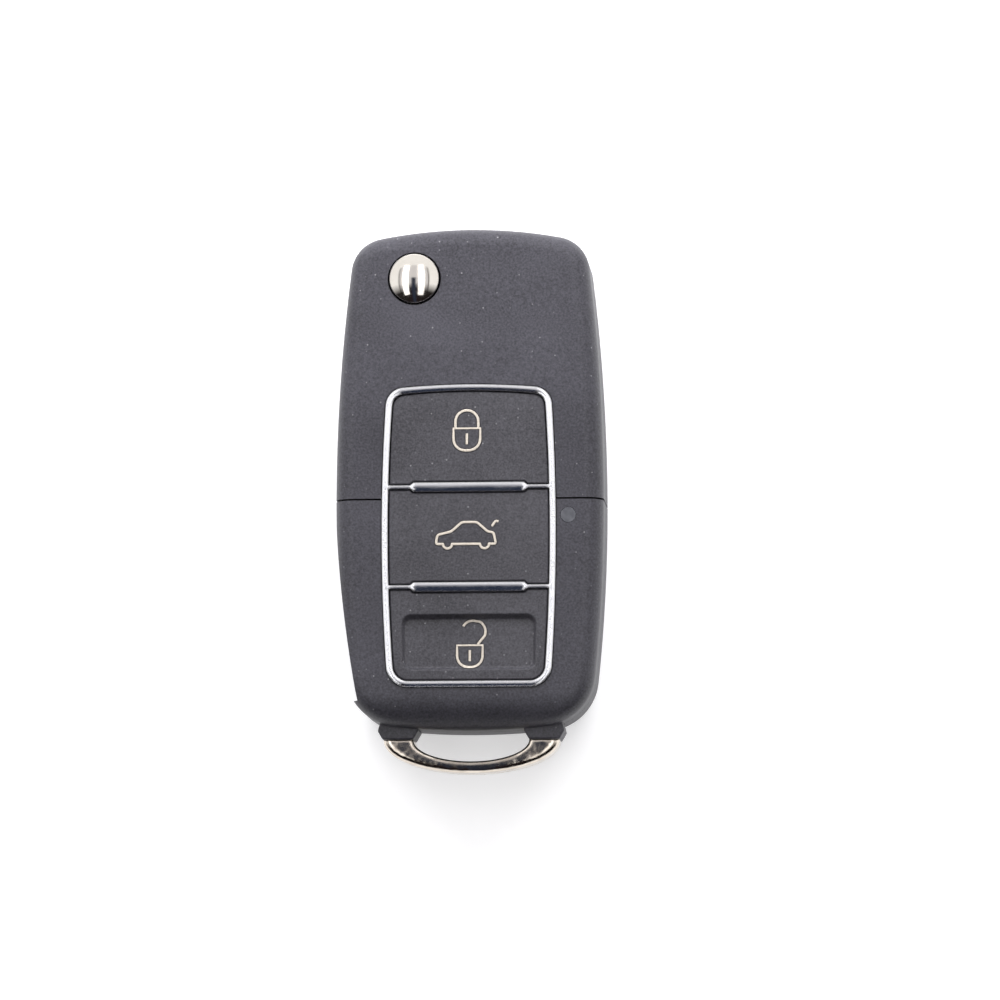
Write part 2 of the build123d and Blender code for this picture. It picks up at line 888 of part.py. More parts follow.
with BuildPart() as trunk_button:
    add(button_cap(cap_limits[2], cap_limits[1]))
trunk_button.part.label = "trunk_button"
export_step(trunk_button.part, "parts/trunk_button.step")

with BuildPart() as unlock_button:
    add(button_cap(cap_limits[3], cap_limits[2]))
    add(scoop.part, mode=Mode.SUBTRACT)
    holed_faces = unlock_button.faces().filter_by(lambda face: len(face.inner_wires()) > 0)
    fillet(holed_faces.sort_by(Axis.Z)[-1].inner_wires()[0].edges(), scoop_rim_edge)
unlock_button.part.label = "unlock_button"
export_step(unlock_button.part, "parts/unlock_button.step")


# Release button: polished dome, stem, two latch lugs and the boss for its spring
button_top_z = skin_z(pivot_y) + button_rise
stem_low_z = spring_floor + spring_length
dome_curve_radius = (button_radius**2 + dome_rise**2) / (2 * dome_rise)
with BuildPart() as release_button:
    with BuildSketch(Plane.XZ.offset(-pivot_y)):
        with BuildLine():
            Polyline(
                (pivot_x, button_top_z + dome_rise),
                (pivot_x, stem_low_z - spring_boss_length),
                (pivot_x + spring_boss_radius, stem_low_z - spring_boss_length),
                (pivot_x + spring_boss_radius, stem_low_z),
                (pivot_x + button_radius, stem_low_z),
                (pivot_x + button_radius, button_top_z),
            )
            RadiusArc(
                (pivot_x + button_radius, button_top_z),
                (pivot_x, button_top_z + dome_rise),
                -dome_curve_radius,
            )
        make_face()
    revolve(axis=Axis((pivot_x, pivot_y, 0), (0, 0, 1)))
    add(latch_slots(latch_lug_reach, latch_lug_width, barrel_high_z - latch_lug_height, barrel_high_z))
release_button.part.label = "release_button"
export_step(release_button.part, "parts/release_button.step")


# Blade carrier: barrel between the cheeks, and the arm that holds the blade
with BuildPart() as blade_carrier:
    with BuildSketch(Plane.XY.offset(arm_low_z)) as arm:
        with Locations(((arm_left_x + arm_right_x) / 2, (arm_end_y + pivot_y) / 2)):
            Rectangle(arm_right_x - arm_left_x, pivot_y - arm_end_y)
        fillet(arm.vertices().group_by(Axis.Y)[-1].sort_by(Axis.X)[0], arm_corner_radius)
    extrude(amount=2 * arm_half_thickness)
    chamfer(blade_carrier.faces().sort_by(Axis.Y)[0].edges(), arm_edge)
    with BuildSketch(Plane.XY.offset(barrel_low_z)):
        with Locations((pivot_x, pivot_y)):
            Circle(barrel_radius)
    extrude(amount=barrel_high_z - barrel_low_z)
    with BuildSketch(Plane.XY.offset(barrel_low_z)):
        with Locations((pivot_x, pivot_y)):
            Circle(trunnion_radius)
    extrude(amount=-trunnion_length)
    with BuildSketch(Plane.XY.offset(barrel_high_z)):
        with Locations((pivot_x, pivot_y)):
            Circle(collar_radius)
    extrude(amount=barrel_gap + collar_height)
    with BuildSketch(Plane.XY.offset(spring_floor)):
        with Locations((pivot_x, pivot_y)):
            Circle(button_bore_radius)
    extrude(amount=body_thickness, mode=Mode.SUBTRACT)
    add(
        latch_slots(
            latch_lug_reach + latch_lug_gap,
            latch_lug_width + 2 * latch_lug_gap,
            barrel_high_z - latch_lug_height - release_travel - barrel_gap,
            body_thickness,
        ),
        mode=Mode.SUBTRACT,
    )
    blade_middle_x = (blade_left_x + blade_right_x) / 2
    add(
        room(
            blade_middle_x - tang_width / 2 - tang_clearance,
            blade_middle_x + tang_width / 2 + tang_clearance,
            arm_end_y - overrun,
            arm_end_y + tang_length + tang_clearance,
            parting_z - blade_thickness / 2 - tang_clearance,
            parting_z + blade_thickness / 2 + tang_clearance,
        ),
        mode=Mode.SUBTRACT,
    )
    with BuildSketch(Plane.XY.offset(arm_low_z)):
        with Locations((blade_middle_x, arm_end_y + pin_inset_y)):
            Circle(pin_radius + tang_clearance)
    extrude(amount=2 * arm_half_thickness, mode=Mode.SUBTRACT)
blade_carrier.part.label = "blade_carrier"
export_step(blade_carrier.part, "parts/blade_carrier.step")


# Uncut key blade with its tang
with BuildPart() as key_blade:
    with BuildSketch(Plane.XY.offset(parting_z - blade_thickness / 2)) as blade_face:
        blade_root_y = arm_end_y - tang_clearance
        with Locations((blade_middle_x, (blade_tip_y + blade_root_y) / 2)):
            Rectangle(blade_right_x - blade_left_x, blade_root_y - blade_tip_y)
        chamfer(blade_face.vertices().group_by(Axis.Y)[0], blade_tip_chamfer)
        with Locations((blade_middle_x, (blade_root_y + arm_end_y + tang_length) / 2)):
            Rectangle(tang_width, arm_end_y + tang_length - blade_root_y)
    extrude(amount=blade_thickness)
    long_edges = key_blade.edges().filter_by(Axis.Y).filter_by(lambda edge: edge.length > tang_length)
    chamfer(long_edges, blade_edge)
    for face_z, way in ((parting_z + blade_thickness / 2, -1), (parting_z - blade_thickness / 2, 1)):
        groove_from = blade_tip_y + blade_groove_margin
        groove_to = blade_root_y - blade_groove_margin
        with BuildSketch(Plane.XY.offset(face_z)):
            with Locations((blade_middle_x, (groove_from + groove_to) / 2)):
                SlotOverall(groove_to - groove_from, blade_groove_width, rotation=90)
        extrude(amount=way * blade_groove_depth, mode=Mode.SUBTRACT)
    with BuildSketch(Plane.XY.offset(arm_low_z)):
        with Locations((blade_middle_x, arm_end_y + pin_inset_y)):
            Circle(pin_radius + tang_clearance)
    extrude(amount=2 * arm_half_thickness, mode=Mode.SUBTRACT)
key_blade.part.label = "key_blade"
export_step(key_blade.part, "parts/key_blade.step")


# Slotted roll pin through the arm and the tang
with BuildPart() as blade_roll_pin:
    with BuildSketch(Plane.XY.offset(arm_low_z)):
        with Locations((blade_middle_x, arm_end_y + pin_inset_y)):
            Circle(pin_radius)
            Circle(pin_radius - pin_wall, mode=Mode.SUBTRACT)
        with Locations((blade_middle_x, arm_end_y + pin_inset_y - pin_radius)):
            Rectangle(pin_slit, 2 * pin_radius, mode=Mode.SUBTRACT)
    extrude(amount=2 * arm_half_thickness)
blade_roll_pin.part.label = "blade_roll_pin"
export_step(blade_roll_pin.part, "parts/blade_roll_pin.step")


# Coil spring between the bottom of the bore and the release button
with BuildPart() as flip_spring:
    coil_height = spring_length - 2 * spring_wire_radius
    with BuildLine() as coil:
        Helix(
            pitch=coil_height / spring_turns,
            height=coil_height,
            radius=spring_coil_radius,
            center=(pivot_x, pivot_y, spring_floor + spring_wire_radius),
        )
    with BuildSketch(Plane(origin=coil.line @ 0, z_dir=coil.line % 0)):
        Circle(spring_wire_radius)
    sweep(is_frenet=True)
flip_spring.part.label = "flip_spring"
export_step(flip_spring.part, "parts/flip_spring.step")


# Circuit board
with BuildPart() as circuit_board:
    board_shoulder_y = end_wall_y - board_end_gap
    with BuildSketch(Plane.XY.offset(board_z)) as board:
        with BuildLine():
            Polyline(
                (board_left_x, board_bottom_y),
                (board_right_x, board_bottom_y),
                (board_right_x, board_shoulder_y + board_end_gap),
                (board_tongue_half, board_shoulder_y + board_end_gap),
                (board_tongue_half, board_top_y),
                (board_left_x, board_top_y),
                close=True,
            )
        make_face()
        fillet(board.vertices().group_by(Axis.Y)[0], board_corner)
        fillet(board.vertices().group_by(Axis.Y)[-1], board_corner / 2)
    extrude(amount=board_thickness)
circuit_board.part.label = "circuit_board"
export_step(circuit_board.part, "parts/circuit_board.step")


def tact_switch(y):
    """A low push switch on the board, with four legs and a round hole for its plunger."""
    with BuildPart() as switch:
        with BuildSketch(Plane.XY.offset(board_top_z)):
            with Locations((0, y)):
                Rectangle(switch_length, switch_width)
        extrude(amount=switch_height)
        chamfer(switch.faces().sort_by(Axis.Z)[-1].edges(), switch_edge)
        with BuildSketch(Plane.XY.offset(board_top_z)):
            with Locations((0, y)):
                with GridLocations(switch_length, switch_width - switch_leg, 2, 2):
                    Rectangle(2 * switch_leg, switch_leg)
        extrude(amount=switch_leg_height)
        with BuildSketch(Plane.XY.offset(switch_top_z)):
            with Locations((0, y)):
                Circle(plunger_radius + plunger_clearance)
        extrude(amount=-(plunger_depth + button_travel + plunger_clearance), mode=Mode.SUBTRACT)
    return switch.part


def switch_plunger(y):
    """The plunger that a button presses into its switch."""
    with BuildPart() as plunger:
        with BuildSketch(Plane.XY.offset(switch_top_z - plunger_depth)):
            with Locations((0, y)):
                Circle(plunger_radius)
        extrude(amount=plunger_depth + plunger_rise)
    return plunger.part


def keypad_dome(y):
    """The silicone dome between a cap and its plunger."""
    with BuildPart() as dome:
        with BuildSketch(Plane.XY.offset(plunger_top_z)):
            with Locations((0, y)):
                Circle(dome_radius - dome_taper)
        with BuildSketch(Plane.XY.offset(cap_low_z)):
            with Locations((0, y)):
                Circle(dome_radius)
        loft()
    return dome.part


# Push switches, their plungers and the silicone domes above them
for key_name, key_y in zip(("lock", "trunk", "unlock"), switch_places):
    for piece_name, make_piece in (
        ("switch", tact_switch),
        ("plunger", switch_plunger),
        ("dome", keypad_dome),
    ):
        with BuildPart() as key_piece:
            add(make_piece(key_y))
        key_piece.part.label = f"{key_name}_{piece_name}"
        export_step(key_piece.part, f"parts/{key_name}_{piece_name}.step")


# Silicone membrane that seals the panel, open round each dome
with BuildPart() as keypad_membrane:
    with BuildSketch(Plane.XY.offset(membrane_z)):
        add(panel_outline(-ring_wall - membrane_side_gap))
        with Locations([(0, key_y) for key_y in switch_places]):
            Circle(dome_radius + dome_gap, mode=Mode.SUBTRACT)
    extrude(amount=membrane_thickness)
keypad_membrane.part.label = "keypad_membrane"
export_step(keypad_membrane.part, "parts/keypad_membrane.step")


# Lamp and the lens that carries its light to the front face
with BuildPart() as led:
    with BuildSketch(Plane.XY.offset(board_top_z)):
        with Locations((lamp_x, lamp_y)):
            Rectangle(led_width, led_length)
    extrude(amount=led_height - led_dome_radius)
    with BuildSketch(Plane.XY.offset(board_top_z + led_height - led_dome_radius)):
        with Locations((lamp_x, lamp_y)):
            Circle(led_dome_radius)
    extrude(amount=led_dome_radius)
led.part.label = "led"
export_step(led.part, "parts/led.step")

with BuildPart() as lens_flange:
    with BuildSketch(Plane.XY.offset(skin_z(lamp_y) - wall - lens_flange_height)):
        with Locations((lamp_x, lamp_y)):
            Circle(lens_flange_radius)
    extrude(amount=lens_flange_height + overrun)
    add(under_skin(wall), mode=Mode.INTERSECT)

with BuildPart() as led_lens:
    with BuildSketch(Plane.XY.offset(lens_low_z)):
        with Locations((lamp_x, lamp_y)):
            Circle(lens_radius)
    extrude(amount=body_thickness)
    add(under_skin(0), mode=Mode.INTERSECT)
    add(lens_flange.part)
led_lens.part.label = "led_lens"
export_step(led_lens.part, "parts/led_lens.step")


# Remote chip, crystal and the smallest parts of the board
with BuildPart() as remote_chip:
    with BuildSketch(Plane.XY.offset(board_top_z)):
        with Locations((chip_x, chip_y)):
            Rectangle(chip_side, chip_side)
    extrude(amount=chip_height)
    chamfer(remote_chip.faces().sort_by(Axis.Z)[-1].edges(), chip_edge)
remote_chip.part.label = "remote_chip"
export_step(remote_chip.part, "parts/remote_chip.step")

with BuildPart() as crystal:
    with BuildSketch(Plane.XY.offset(board_top_z)):
        with Locations((crystal_x, crystal_y)):
            Rectangle(crystal_length, crystal_width)
    extrude(amount=crystal_height)
    chamfer(crystal.faces().sort_by(Axis.Z)[-1].edges(), chip_edge)
crystal.part.label = "crystal"
export_step(crystal.part, "parts/crystal.step")

with BuildPart() as small_components:
    with BuildSketch(Plane.XY.offset(board_top_z)):
        with Locations(small_part_places, (board_right_x - lamp_resistor_inset, lamp_resistor_y)):
            Rectangle(small_part_length, small_part_width)
    extrude(amount=small_part_height)
small_components.part.label = "small_components"
export_step(small_components.part, "parts/small_components.step")


# Coin cell: can, insulating step and negative cap
with BuildPart() as coin_cell:
    with BuildSketch(Plane.XY.offset(cell_low_z)):
        with Locations((cell_x, cell_y)):
            Circle(cell_radius)
    extrude(amount=cell_height - cell_rim)
    chamfer(coin_cell.faces().sort_by(Axis.Z)[0].edges(), cell_rim)
    with BuildSketch(Plane.XY.offset(cell_high_z - cell_rim)):
        with Locations((cell_x, cell_y)):
            Circle(cell_radius - cell_step)
    extrude(amount=cell_rim)
coin_cell.part.label = "coin_cell"
export_step(coin_cell.part, "parts/coin_cell.step")

with BuildPart() as negative_contact:
    with BuildSketch(Plane.XY.offset(cell_high_z)):
        with Locations((cell_x, cell_y)):
            SlotOverall(contact_length, contact_width)
    extrude(amount=contact_thickness)
negative_contact.part.label = "negative_contact"
export_step(negative_contact.part, "parts/negative_contact.step")

# Positive contact: a strap under the cell whose ends stand up to the board
with BuildPart() as positive_contact:
    strap_half = cell_radius + strap_gap
    with BuildSketch(Plane.YZ.offset(cell_x - contact_width / 2)):
        with BuildLine():
            Polyline(
                (cell_y - strap_half - contact_thickness - strap_foot, board_z),
                (cell_y - strap_half - contact_thickness - strap_foot, board_z - contact_thickness),
                (cell_y - strap_half - contact_thickness, board_z - contact_thickness),
                (cell_y - strap_half - contact_thickness, strap_low_z),
                (cell_y + strap_half + contact_thickness, strap_low_z),
                (cell_y + strap_half + contact_thickness, board_z - contact_thickness),
                (cell_y + strap_half + contact_thickness + strap_foot, board_z - contact_thickness),
                (cell_y + strap_half + contact_thickness + strap_foot, board_z),
                (cell_y + strap_half, board_z),
                (cell_y + strap_half, cell_low_z),
                (cell_y - strap_half, cell_low_z),
                (cell_y - strap_half, board_z),
                close=True,
            )
        make_face()
    extrude(amount=contact_width)
positive_contact.part.label = "positive_contact"
export_step(positive_contact.part, "parts/positive_contact.step")


# The two screws of the head
with BuildPart() as head_screws:
    with BuildSketch(Plane.XY.offset(screw_head_sink)):
        with Locations(screw_places):
            Circle(screw_head_radius)
    extrude(amount=screw_head_height)
    chamfer(head_screws.faces().filter_by(Plane.XY).group_by(Axis.Z)[0].edges(), screw_head_edge)
    with BuildSketch(Plane.XY.offset(screw_head_sink)):
        with Locations(screw_places):
            Rectangle(2 * screw_head_radius - 2 * screw_recess, screw_recess)
            Rectangle(screw_recess, 2 * screw_head_radius - 2 * screw_recess)
    extrude(amount=screw_recess_depth, mode=Mode.SUBTRACT)
    with BuildSketch(Plane.XY.offset(screw_head_sink + screw_head_height)):
        with Locations(screw_places):
            Circle(screw_radius)
    extrude(amount=screw_length)
head_screws.part.label = "head_screws"
export_step(head_screws.part, "parts/head_screws.step")


# Transponder block of the immobiliser
with BuildPart() as transponder_chip:
    with BuildSketch(Plane.XY.offset(wall)):
        with Locations((transponder_x, transponder_y)):
            Rectangle(transponder_length, transponder_width)
    extrude(amount=transponder_height)
    chamfer(transponder_chip.edges().filter_by(Axis.Z), transponder_edge)
transponder_chip.part.label = "transponder_chip"
export_step(transponder_chip.part, "parts/transponder_chip.step")


# Metal key-ring loop with two tangs that sit in the lugs
with BuildPart() as key_ring_loop:
    with BuildSketch(Plane.XY.offset(parting_z - loop_half_depth)):
        with Locations((0, loop_root_y)):
            Ellipse(loop_outer_half, loop_outer_drop)
            Ellipse(loop_inner_half, loop_inner_drop, mode=Mode.SUBTRACT)
        with Locations((0, loop_root_y + loop_outer_drop)):
            Rectangle(2 * loop_outer_half + overrun, 2 * loop_outer_drop, mode=Mode.SUBTRACT)
    extrude(amount=2 * loop_half_depth)
    flat_faces = key_ring_loop.faces().filter_by(Plane.XY)
    curved = flat_faces.edges().filter_by(GeomType.ELLIPSE)
    fillet(curved.group_by(SortBy.LENGTH)[-1], loop_outer_edge)
    inner_rims = key_ring_loop.faces().filter_by(Plane.XY).edges().filter_by(GeomType.ELLIPSE)
    chamfer(inner_rims.group_by(SortBy.LENGTH)[0], loop_inner_edge)
    add(tang_pins(tang_pin_radius, tang_pin_length))
key_ring_loop.part.label = "key_ring_loop"
export_step(key_ring_loop.part, "parts/key_ring_loop.step")
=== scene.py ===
# %% [markdown]
# # A flip-blade remote car key
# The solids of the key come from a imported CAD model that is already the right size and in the
# right place. This lesson gives each of them the finish of the real piece, prints the small
# pictograms on the three keys, and sets up a floor, some soft light and a camera.

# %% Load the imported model
import math

import bmesh
import bpy
from mathutils import Matrix, Vector
from mathutils.bvhtree import BVHTree


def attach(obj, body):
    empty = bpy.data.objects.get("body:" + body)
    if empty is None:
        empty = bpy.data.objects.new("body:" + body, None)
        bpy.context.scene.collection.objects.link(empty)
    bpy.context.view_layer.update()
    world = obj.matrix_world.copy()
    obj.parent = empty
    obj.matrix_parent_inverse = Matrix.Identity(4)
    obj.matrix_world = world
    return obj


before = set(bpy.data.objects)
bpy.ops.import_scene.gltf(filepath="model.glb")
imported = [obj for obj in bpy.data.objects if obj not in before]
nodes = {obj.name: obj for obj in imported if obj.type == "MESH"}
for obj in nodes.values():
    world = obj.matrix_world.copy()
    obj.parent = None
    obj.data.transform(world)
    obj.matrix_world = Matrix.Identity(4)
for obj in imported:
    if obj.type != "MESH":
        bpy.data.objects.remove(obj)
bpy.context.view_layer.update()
MM = 0.001


# %% [markdown]
# ## Helpers for materials
# A Blender material is a small graph. Colours are easiest to write as the hex values of a
# colour picker, but the shader wants linear light, so one function converts them. A second
# one adds a node, fills in its settings and makes its links, so that each material below
# reads from top to bottom like a recipe. The world is such a graph too, so the function takes
# either of them as the node's owner.


# %% Colour, node and material helpers
def linear(hex_colour):
    """An sRGB hex colour as linear red, green, blue and alpha."""
    values = [int(hex_colour[i : i + 2], 16) / 255 for i in (1, 3, 5)]
    return [v / 12.92 if v <= 0.04045 else ((v + 0.055) / 1.055) ** 2.4 for v in values] + [1.0]


def add_node(owner, kind, values=None, links=None, **settings):
    """Adds one node: values go to its sockets, links come from other nodes' outputs."""
    node = owner.node_tree.nodes.new(kind)
    for name, setting in settings.items():
        setattr(node, name, setting)
    for name, value in (values or {}).items():
        node.inputs[name].default_value = value
    for name, output in (links or {}).items():
        owner.node_tree.links.new(output, node.inputs[name])
    return node


def new_material(name):
    """An empty material with Object coordinates ready, in metres."""
    material = bpy.data.materials.new(name)
    material.use_nodes = True
    material.node_tree.nodes.clear()
    coordinates = add_node(material, "ShaderNodeTexCoord")
    return material, coordinates.outputs["Object"]


def finish_material(material, values, links):
    """Adds the Principled shader and the output that end every material."""
    shader = add_node(material, "ShaderNodeBsdfPrincipled", values, links)
    add_node(material, "ShaderNodeOutputMaterial", links={"Surface": shader.outputs[0]})
    return material


def per_mm(size_mm):
    """The scale of a noise whose grains are about this many millimetres apart."""
    return 1 / (size_mm * MM)


def dress(material, *names):
    """Gives a material to CAD nodes."""
    for name in names:
        mesh = nodes[name].data
        mesh.materials.clear()
        mesh.materials.append(material)
    print(material.name, "on", ", ".join(names))


# %% [markdown]
# ## Spark-eroded ABS
# The covers and keys are moulded ABS. Spark erosion of the mould leaves a fine, even grain,
# which breaks every highlight into a soft sheen. It is far too fine for real geometry, so a
# noise drives the bump and, a little, the colour. Such a grain is usually finer than the
# picture can show, so it is drawn a quarter to a third of a millimetre coarse. A few pale
# specks of dust and worn grain sit on it: they come from a cell pattern that is cut so low
# that only the very middle of some cells shows.


# %% Moulded plastic with a grain
CLOUD_MM = 14.0
CLOUD_SHARE = 0.35
DARK_UP_TO = 0.48
LIGHT_FROM = 0.88
GLOSS_SPREAD = 0.06
SPECK_GAP_MM = 1.0
SPECK_RADIUS = 0.14
SPECK_CORE = 0.07
SPECK_RARITY = 0.55
SPECK_FULL = 0.95
SPECK_COLOUR = "#a9a8ac"


def eroded_abs(name, dark, light, grain_mm, depth_mm, roughness, speck_strength):
    material, place = new_material(name)
    grain = add_node(
        material,
        "ShaderNodeTexNoise",
        {"Scale": per_mm(grain_mm), "Detail": 3.0, "Roughness": 0.65},
        {"Vector": place},
    )
    cloud = add_node(
        material,
        "ShaderNodeTexNoise",
        {"Scale": per_mm(CLOUD_MM), "Detail": 2.0},
        {"Vector": place},
    )
    both = add_node(
        material,
        "ShaderNodeMath",
        {1: CLOUD_SHARE},
        {0: cloud.outputs["Fac"], 2: grain.outputs["Fac"]},
        operation="MULTIPLY_ADD",
    )
    colour = add_node(material, "ShaderNodeValToRGB", links={"Fac": both.outputs[0]})
    colour.color_ramp.elements[0].position = DARK_UP_TO
    colour.color_ramp.elements[0].color = linear(dark)
    colour.color_ramp.elements[1].position = LIGHT_FROM
    colour.color_ramp.elements[1].color = linear(light)
    cells = add_node(
        material,
        "ShaderNodeTexVoronoi",
        {"Scale": per_mm(SPECK_GAP_MM), "Randomness": 1.0},
        {"Vector": place},
    )
    chosen = add_node(
        material, "ShaderNodeSeparateColor", links={"Color": cells.outputs["Color"]}
    )
    near = add_node(
        material,
        "ShaderNodeMapRange",
        {"From Min": SPECK_RADIUS, "From Max": SPECK_CORE},
        {"Value": cells.outputs["Distance"]},
    )
    rare = add_node(
        material,
        "ShaderNodeMapRange",
        {"From Min": SPECK_RARITY, "From Max": SPECK_FULL, "To Max": speck_strength},
        {"Value": chosen.outputs[0]},
    )
    speck = add_node(
        material,
        "ShaderNodeMath",
        links={0: near.outputs[0], 1: rare.outputs[0]},
        operation="MULTIPLY",
    )
    specked = add_node(
        material,
        "ShaderNodeMix",
        {"B": linear(SPECK_COLOUR)},
        {"Factor": speck.outputs[0], "A": colour.outputs[0]},
        data_type="RGBA",
    )
    gloss = add_node(
        material,
        "ShaderNodeMapRange",
        {"To Min": roughness - GLOSS_SPREAD, "To Max": roughness + GLOSS_SPREAD},
        {"Value": cloud.outputs["Fac"]},
    )
    bump = add_node(
        material,
        "ShaderNodeBump",
        {"Strength": 0.55, "Distance": depth_mm * MM},
        {"Height": grain.outputs["Fac"]},
    )
    return finish_material(
        material,
        {"IOR": 1.53},
        {
            "Base Color": specked.outputs["Result"],
            "Roughness": gloss.outputs[0],
            "Normal": bump.outputs[0],
        },
    )


dress(
    eroded_abs("charcoal_abs_spark_eroded", "#201f25", "#414048", 0.3, 0.04, 0.48, 0.42),
    "head_front_cover",
    "head_back_cover",
    "remote_front_cover",
    "remote_back_cover",
)
dress(
    eroded_abs("charcoal_abs_fine_grain", "#242328", "#47464c", 0.26, 0.032, 0.46, 0.38),
    "lock_button",
    "trunk_button",
    "unlock_button",
)

# %% [markdown]
# ## Plated and polished metal
# The trim is chrome plate, and the loop and button are polished nickel, which is a little
# warmer. A mirror in a plain room looks flat, so the polish gets the faint haze and the long,
# low waves that buffing leaves, hundredths of a millimetre deep and some millimetres apart.
# The loop rubs on keys, so its waves are deeper and closer and its tarnish is darker. Plating
# also builds up on edges and rounds them; a Bevel node bends the light there as it would.


# %% Bright plate and polished metal
HAZE_MM = 1.8
HAZE_CLEAR = 0.35
HAZE_FULL = 0.75
HAZE_SPREAD = 0.09


def polished_metal(name, colour, worn, roughness, wave_mm, wave_depth_mm, round_mm):
    material, place = new_material(name)
    haze = add_node(
        material,
        "ShaderNodeTexNoise",
        {"Scale": per_mm(HAZE_MM), "Detail": 4.0, "Roughness": 0.6},
        {"Vector": place},
    )
    tint = add_node(
        material,
        "ShaderNodeMix",
        {"A": linear(colour), "B": linear(worn)},
        {"Factor": haze.outputs["Fac"]},
        data_type="RGBA",
    )
    dull = add_node(
        material,
        "ShaderNodeMapRange",
        {
            "From Min": HAZE_CLEAR,
            "From Max": HAZE_FULL,
            "To Min": roughness,
            "To Max": roughness + HAZE_SPREAD,
        },
        {"Value": haze.outputs["Fac"]},
    )
    waves = add_node(
        material,
        "ShaderNodeTexNoise",
        {"Scale": per_mm(wave_mm), "Detail": 1.0},
        {"Vector": place},
    )
    rounded = add_node(material, "ShaderNodeBevel", {"Radius": round_mm * MM}, samples=8)
    bump = add_node(
        material,
        "ShaderNodeBump",
        {"Strength": 0.5, "Distance": wave_depth_mm * MM},
        {"Height": waves.outputs["Fac"], "Normal": rounded.outputs[0]},
    )
    return finish_material(
        material,
        {"Metallic": 1.0},
        {
            "Base Color": tint.outputs["Result"],
            "Roughness": dull.outputs[0],
            "Normal": bump.outputs[0],
        },
    )


dress(
    polished_metal("chrome_plate", "#f8f8fb", "#eeeff4", 0.05, 3.0, 0.04, 0.8),
    "chrome_trim_frame",
)
dress(
    polished_metal("nickel_plate_buffed", "#f9f5ef", "#ece6dd", 0.08, 4.5, 0.05, 0.3),
    "release_button",
)
dress(
    polished_metal("nickel_plate_tarnished", "#f1e9dd", "#b3a698", 0.11, 1.4, 0.15, 0.6),
    "key_ring_loop",
)

# %% [markdown]
# ## Brushed and bare steel
# The blade is milled and brushed along its length, so its scratches are long and thin. A
# noise whose coordinates are squeezed along the brushing gives just that. The same recipe,
# with other squeezes, serves the spring, the pin, the screws, the cell, the stamped switch
# covers, the bronze contacts and the lacquered zinc of the carrier.


# %% Metal with a direction
ALONG_Y = (1.0, 0.05, 1.0)
ALONG_X = (0.08, 1.0, 1.0)
EVEN = (1.0, 1.0, 1.0)
GLOSSIER = 0.08
DULLER = 0.14


def brushed_metal(name, colour, worn, roughness, across_mm, stretch, depth_mm=0.01):
    material, place = new_material(name)
    squeeze = add_node(material, "ShaderNodeMapping", {"Scale": stretch}, {"Vector": place})
    scratches = add_node(
        material,
        "ShaderNodeTexNoise",
        {"Scale": per_mm(across_mm), "Detail": 5.0, "Roughness": 0.7},
        {"Vector": squeeze.outputs[0]},
    )
    tint = add_node(
        material,
        "ShaderNodeMix",
        {"A": linear(colour), "B": linear(worn)},
        {"Factor": scratches.outputs["Fac"]},
        data_type="RGBA",
    )
    dull = add_node(
        material,
        "ShaderNodeMapRange",
        {"To Min": roughness - GLOSSIER, "To Max": roughness + DULLER},
        {"Value": scratches.outputs["Fac"]},
    )
    bump = add_node(
        material,
        "ShaderNodeBump",
        {"Strength": 0.4, "Distance": depth_mm * MM},
        {"Height": scratches.outputs["Fac"]},
    )
    return finish_material(
        material,
        {"Metallic": 1.0},
        {
            "Base Color": tint.outputs["Result"],
            "Roughness": dull.outputs[0],
            "Normal": bump.outputs[0],
        },
    )


dress(
    brushed_metal("blade_steel_nickel_plated", "#c3c1bb", "#a8a6a0", 0.3, 0.16, ALONG_Y),
    "key_blade",
)
dress(
    brushed_metal("spring_steel", "#9b9a96", "#7d7c79", 0.34, 0.3, EVEN),
    "flip_spring",
    "blade_roll_pin",
)
dress(
    brushed_metal("screw_steel_blackened", "#4a4a4c", "#313133", 0.42, 0.3, EVEN),
    "head_screws",
)
dress(
    brushed_metal("cell_can_nickel_plated", "#cfcdc6", "#b5b3ad", 0.24, 0.35, ALONG_X),
    "coin_cell",
)
dress(
    brushed_metal("switch_cover_stainless", "#bdbdbb", "#9a9a98", 0.32, 0.25, ALONG_X),
    "lock_switch",
    "trunk_switch",
    "unlock_switch",
    "crystal",
)
dress(
    brushed_metal("contact_bronze_plated", "#cdb98a", "#b09a68", 0.3, 0.3, ALONG_X),
    "negative_contact",
    "positive_contact",
)
dress(
    brushed_metal("carrier_zinc_black_lacquer", "#2c2c2f", "#1f1f21", 0.42, 0.5, EVEN, 0.02),
    "blade_carrier",
)

# %% [markdown]
# ## Inside the case
# Green laminate shows its glass weave through the lacquer; epoxy, ceramic and silicone are
# plain mouldings with a fine mottle. One recipe covers them, with the size of the mottle, its
# two colours and its gloss as the choices.


# %% Mottled mouldings and laminate
MOTTLE_DEPTH_MM = 0.01
MOTTLE_SPREAD = 0.08
MOTTLE_DARK = 0.3
MOTTLE_LIGHT = 0.7


